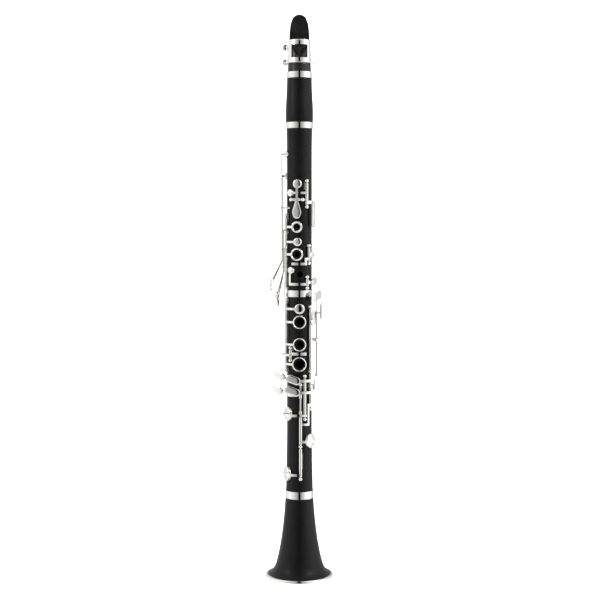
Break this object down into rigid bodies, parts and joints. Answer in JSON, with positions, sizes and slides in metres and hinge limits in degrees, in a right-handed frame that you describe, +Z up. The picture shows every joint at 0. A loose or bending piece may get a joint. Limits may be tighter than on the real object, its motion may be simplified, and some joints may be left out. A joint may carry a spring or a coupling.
{
  "type": "clarinet",
  "caption": "Soprano clarinet in B flat with a black body, silver-plated Boehm key work, rings and ligature, standing on its bell.",
  "frame": {"origin": "centre of the bell's mouth, on the plane that the bell stands on", "axes": "+Z up the bore to the mouthpiece; the tone holes and finger rings face -Y; +X is to the right when looking at the tone holes; the reed and thumb side face +Y"},
  "size_m": [0.079, 0.079, 0.656],
  "materials": {
    "black_body": "matt black moulded resin with a fine brushed grain",
    "black_mouthpiece": "polished black hard rubber",
    "silver_plate": "polished silver plate over nickel silver",
    "steel": "drawn steel rod and needle springs",
    "cork": "greased natural cork",
    "pad_skin": "pale skin over felt",
    "cane": "scraped cane with fine fibres"
  },
  "bodies": {
    "bell": {"bell": "black_body", "bell_rim_ring": "silver_plate", "bell_socket_ring": "silver_plate"},
    "lower_joint": {"lower_joint": "black_body", "lower_joint_cork": "cork", "lower_joint_ring": "silver_plate", "lower_posts": "silver_plate", "lower_hinge_rods": "steel", "lower_springs": "steel", "thumb_rest": "silver_plate", "thumb_rest_screws": "silver_plate"},
    "right_hand_ring_key": {"right_hand_ring_key": "silver_plate", "right_hand_ring_pad": "pad_skin"},
    "b_sliver_key": {"b_sliver_key": "silver_plate", "b_pad": "pad_skin"},
    "left_e_lever": {"left_e_lever": "silver_plate"},
    "left_f_sharp_lever": {"left_f_sharp_lever": "silver_plate"},
    "left_f_lever": {"left_f_lever": "silver_plate"},
    "a_flat_key": {"a_flat_key": "silver_plate", "a_flat_pad": "pad_skin"},
    "f_sharp_key": {"f_sharp_key": "silver_plate", "f_sharp_pad": "pad_skin"},
    "f_touch_key": {"f_touch_key": "silver_plate"},
    "f_key": {"f_key": "silver_plate", "f_pad": "pad_skin"},
    "e_key": {"e_key": "silver_plate", "e_pad": "pad_skin"},
    "upper_joint": {"upper_joint": "black_body", "upper_joint_corks": "cork", "upper_vent_tubes": "silver_plate", "upper_posts": "silver_plate", "upper_hinge_rods": "steel", "upper_springs": "steel"},
    "first_ring_key": {"first_ring_key": "silver_plate"},
    "thumb_ring_key": {"thumb_ring_key": "silver_plate", "thumb_ring_pad": "pad_skin"},
    "second_ring_key": {"second_ring_key": "silver_plate", "second_ring_pad": "pad_skin"},
    "a_key": {"a_key": "silver_plate", "a_pad": "pad_skin"},
    "g_sharp_key": {"g_sharp_key": "silver_plate", "g_sharp_pad": "pad_skin"},
    "register_key": {"register_key": "silver_plate", "register_pad": "pad_skin"},
    "e_flat_sliver_key": {"e_flat_sliver_key": "silver_plate", "e_flat_pad": "pad_skin"},
    "c_sharp_key": {"c_sharp_key": "silver_plate", "c_sharp_pad": "pad_skin"},
    "side_key_1": {"side_key_1": "silver_plate"},
    "side_key_2": {"side_key_2": "silver_plate"},
    "side_key_3": {"side_key_3": "silver_plate"},
    "side_key_4": {"side_key_4": "silver_plate"},
    "barrel": {"barrel": "black_body", "barrel_rings": "silver_plate"},
    "mouthpiece": {"mouthpiece": "black_mouthpiece", "mouthpiece_cork": "cork", "reed": "cane", "ligature": "silver_plate"},
    "ligature_screw_upper": {"ligature_screw_upper": "silver_plate"},
    "ligature_screw_lower": {"ligature_screw_lower": "silver_plate"}
  },
  "joints": [
    {"name": "lower_joint_pull", "type": "slide", "parent": "bell", "child": "lower_joint", "axis": [0, 0, 1], "range_m": [0, 0.022]},
    {"name": "upper_joint_pull", "type": "slide", "parent": "lower_joint", "child": "upper_joint", "axis": [0, 0, 1], "range_m": [0, 0.022]},
    {"name": "barrel_pull", "type": "slide", "parent": "upper_joint", "child": "barrel", "axis": [0, 0, 1], "range_m": [0, 0.022]},
    {"name": "mouthpiece_pull", "type": "slide", "parent": "barrel", "child": "mouthpiece", "axis": [0, 0, 1], "range_m": [0, 0.022]},
    {"name": "right_hand_ring_key_turn", "type": "hinge", "parent": "lower_joint", "child": "right_hand_ring_key", "pos_m": [-0.01546, -0.00754, 0.285], "axis": [0, 0, 1], "range_deg": [0, 4.5], "stiffness_Nm_per_rad": 0.05, "springref_deg": -11.46},
    {"name": "b_sliver_key_turn", "type": "hinge", "parent": "lower_joint", "child": "b_sliver_key", "pos_m": [-0.01035, -0.01374, 0.264], "axis": [0, 0, 1], "range_deg": [0, 6], "stiffness_Nm_per_rad": 0.05, "springref_deg": -11.46},
    {"name": "f_sharp_key_turn", "type": "hinge", "parent": "lower_joint", "child": "f_sharp_key", "pos_m": [0.0063, -0.016, 0.213], "axis": [0, 0, 1], "range_deg": [-5, 0], "stiffness_Nm_per_rad": 0.05, "springref_deg": 11.46},
    {"name": "f_touch_key_turn", "type": "hinge", "parent": "lower_joint", "child": "f_touch_key", "pos_m": [0.01278, -0.01151, 0.213], "axis": [0, 0, 1], "range_deg": [-5, 0], "stiffness_Nm_per_rad": 0.05, "springref_deg": 11.46},
    {"name": "f_key_turn", "type": "hinge", "parent": "lower_joint", "child": "f_key", "pos_m": [0.00129, -0.01715, 0.175], "axis": [0, 0, 1], "range_deg": [0, 5], "stiffness_Nm_per_rad": 0.05, "springref_deg": -11.46},
    {"name": "e_key_turn", "type": "hinge", "parent": "lower_joint", "child": "e_key", "pos_m": [0.00129, -0.01715, 0.172], "axis": [0, 0, 1], "range_deg": [-5, 0], "stiffness_Nm_per_rad": 0.05, "springref_deg": 11.46},
    {"name": "a_flat_key_turn", "type": "hinge", "parent": "lower_joint", "child": "a_flat_key", "pos_m": [0.01278, -0.01151, 0.235], "axis": [0, 0, 1], "range_deg": [-6, 0], "stiffness_Nm_per_rad": 0.05, "springref_deg": 11.46},
    {"name": "left_f_lever_turn", "type": "hinge", "parent": "lower_joint", "child": "left_f_lever", "pos_m": [0.01278, -0.01151, 0.281], "axis": [0, 0, 1], "range_deg": [0, 5], "stiffness_Nm_per_rad": 0.05, "springref_deg": -11.46},
    {"name": "left_e_lever_turn", "type": "hinge", "parent": "lower_joint", "child": "left_e_lever", "pos_m": [0.01989, -0.00209, 0.28], "axis": [0.1045, 0.9945, 0], "range_deg": [-4, 0], "stiffness_Nm_per_rad": 0.05, "springref_deg": 11.46},
    {"name": "left_f_sharp_lever_turn", "type": "hinge", "parent": "lower_joint", "child": "left_f_sharp_lever", "pos_m": [0.01989, -0.00209, 0.28], "axis": [0.1045, 0.9945, 0], "range_deg": [-4, 0], "stiffness_Nm_per_rad": 0.05, "springref_deg": 11.46},
    {"name": "first_ring_key_turn", "type": "hinge", "parent": "upper_joint", "child": "first_ring_key", "pos_m": [-0.01546, -0.00754, 0.415], "axis": [0, 0, 1], "range_deg": [0, 4.5], "stiffness_Nm_per_rad": 0.05, "springref_deg": -11.46},
    {"name": "thumb_ring_key_turn", "type": "hinge", "parent": "upper_joint", "child": "thumb_ring_key", "pos_m": [-0.01035, 0.01374, 0.407], "axis": [0, 0, 1], "range_deg": [-4.5, 0], "stiffness_Nm_per_rad": 0.05, "springref_deg": 11.46},
    {"name": "second_ring_key_turn", "type": "hinge", "parent": "upper_joint", "child": "second_ring_key", "pos_m": [-0.01546, -0.00754, 0.373], "axis": [0, 0, 1], "range_deg": [0, 4.5], "stiffness_Nm_per_rad": 0.05, "springref_deg": -11.46},
    {"name": "a_key_turn", "type": "hinge", "parent": "upper_joint", "child": "a_key", "pos_m": [-0.00282, -0.01778, 0.4425], "axis": [0.9877, -0.1564, 0], "range_deg": [0, 8], "stiffness_Nm_per_rad": 0.05, "springref_deg": -11.46},
    {"name": "g_sharp_key_turn", "type": "hinge", "parent": "upper_joint", "child": "g_sharp_key", "pos_m": [0.0086, -0.0149, 0.449], "axis": [0, 0, 1], "range_deg": [0, 6], "stiffness_Nm_per_rad": 0.05, "springref_deg": -11.46},
    {"name": "register_key_turn", "type": "hinge", "parent": "upper_joint", "child": "register_key", "pos_m": [0, 0.0184, 0.47], "axis": [-1, 0, 0], "range_deg": [0, 5], "stiffness_Nm_per_rad": 0.05, "springref_deg": -11.46},
    {"name": "e_flat_sliver_key_turn", "type": "hinge", "parent": "upper_joint", "child": "e_flat_sliver_key", "pos_m": [0.01106, -0.01318, 0.379], "axis": [0, 0, 1], "range_deg": [-6, 0], "stiffness_Nm_per_rad": 0.05, "springref_deg": 11.46},
    {"name": "c_sharp_key_turn", "type": "hinge", "parent": "upper_joint", "child": "c_sharp_key", "pos_m": [0.00911, -0.01459, 0.347], "axis": [0, 0, 1], "range_deg": [0, 6], "stiffness_Nm_per_rad": 0.05, "springref_deg": -11.46},
    {"name": "side_key_1_turn", "type": "hinge", "parent": "upper_joint", "child": "side_key_1", "pos_m": [-0.01891, 0.00333, 0.364], "axis": [-0.1736, -0.9848, 0], "range_deg": [0, 5.5], "stiffness_Nm_per_rad": 0.05, "springref_deg": -11.46},
    {"name": "side_key_2_turn", "type": "hinge", "parent": "upper_joint", "child": "side_key_2", "pos_m": [-0.01891, 0.00333, 0.364], "axis": [-0.1736, -0.9848, 0], "range_deg": [0, 3.3], "stiffness_Nm_per_rad": 0.05, "springref_deg": -11.46},
    {"name": "side_key_3_turn", "type": "hinge", "parent": "upper_joint", "child": "side_key_3", "pos_m": [-0.01891, 0.00333, 0.433], "axis": [-0.1736, -0.9848, 0], "range_deg": [0, 3], "stiffness_Nm_per_rad": 0.05, "springref_deg": -11.46},
    {"name": "side_key_4_turn", "type": "hinge", "parent": "upper_joint", "child": "side_key_4", "pos_m": [-0.01891, 0.00333, 0.433], "axis": [-0.1736, -0.9848, 0], "range_deg": [0, 2.4], "stiffness_Nm_per_rad": 0.05, "springref_deg": -11.46},
    {"name": "ligature_screw_upper_turn", "type": "hinge", "parent": "mouthpiece", "child": "ligature_screw_upper", "pos_m": [0, 0.015, 0.619], "axis": [-1, 0, 0], "range_deg": [-360, 360]},
    {"name": "ligature_screw_lower_turn", "type": "hinge", "parent": "mouthpiece", "child": "ligature_screw_lower", "pos_m": [0, 0.015, 0.602], "axis": [-1, 0, 0], "range_deg": [-360, 360]}
  ],
  "couplings": [
    {"joint": "thumb_ring_key_turn", "follows": "first_ring_key_turn", "ratio": -1},
    {"joint": "left_e_lever_turn", "follows": "e_key_turn", "ratio": 0.8},
    {"joint": "left_f_sharp_lever_turn", "follows": "f_sharp_key_turn", "ratio": 0.8},
    {"joint": "f_key_turn", "follows": "f_touch_key_turn", "ratio": -1},
    {"joint": "left_f_lever_turn", "follows": "f_touch_key_turn", "ratio": -1}
  ]
}
